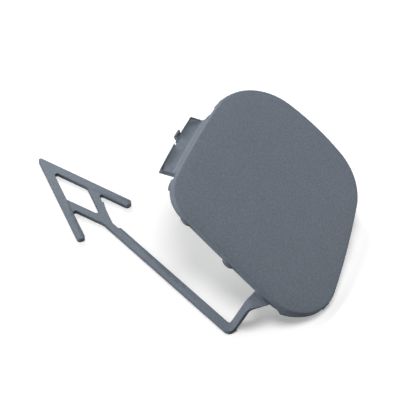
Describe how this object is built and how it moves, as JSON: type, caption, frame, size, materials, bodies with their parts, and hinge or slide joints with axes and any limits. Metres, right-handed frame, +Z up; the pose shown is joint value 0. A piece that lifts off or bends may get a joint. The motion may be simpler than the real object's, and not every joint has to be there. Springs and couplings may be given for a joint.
{
  "type": "bumper tow hook cover",
  "caption": "Moulded bumper cover for a tow-hook opening: crowned trapezoid face with a turned-down rim, locating tongue, snap hooks and a flat tether with an arrow end.",
  "frame": {"origin": "underside of the tether's strap, at the corner where the riser starts, on the table that the cover lies on", "axes": "+Z up from the table; the strap runs along -X to the arrow; +Y towards the face panel, which tilts down towards +X"},
  "size_m": [0.1407, 0.104, 0.0428],
  "materials": {
    "plastic": "fine matte grain, primer grey"
  },
  "bodies": {
    "root": {"cover": "plastic"}
  },
  "joints": []
}
